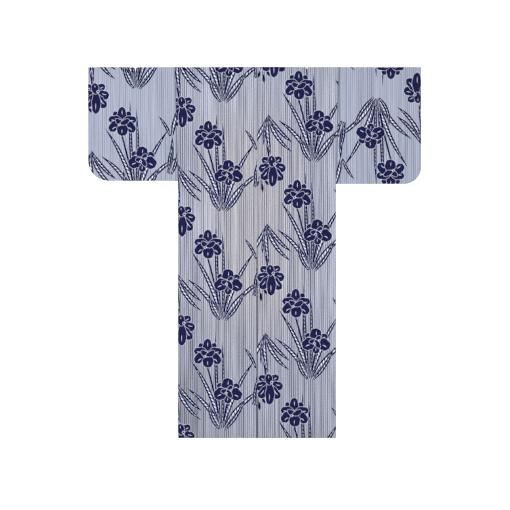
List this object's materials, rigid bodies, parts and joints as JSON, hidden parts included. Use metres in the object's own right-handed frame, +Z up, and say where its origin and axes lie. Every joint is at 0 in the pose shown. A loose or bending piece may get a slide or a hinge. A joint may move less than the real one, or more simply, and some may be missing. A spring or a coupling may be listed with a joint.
{
  "type": "cotton yukata robe",
  "caption": "Unlined cotton summer robe spread flat with its back up: straight body, overlapping fronts and wide sleeves.",
  "frame": {"origin": "on the surface, under the middle of the spread garment's bounding box", "axes": "+X to the right of the garment seen from its back, +Y from the hem to the neck, +Z up from the surface through the back"},
  "size_m": [1.346, 1.5, 0.0049],
  "materials": {
    "cotton": "matt plain weave with fine grey stripes and a navy print"
  },
  "bodies": {
    "root": {"body_left": "cotton", "body_right": "cotton", "okumi_left": "cotton", "okumi_right": "cotton", "sleeve_left": "cotton", "sleeve_right": "cotton", "collar": "cotton"}
  },
  "joints": []
}
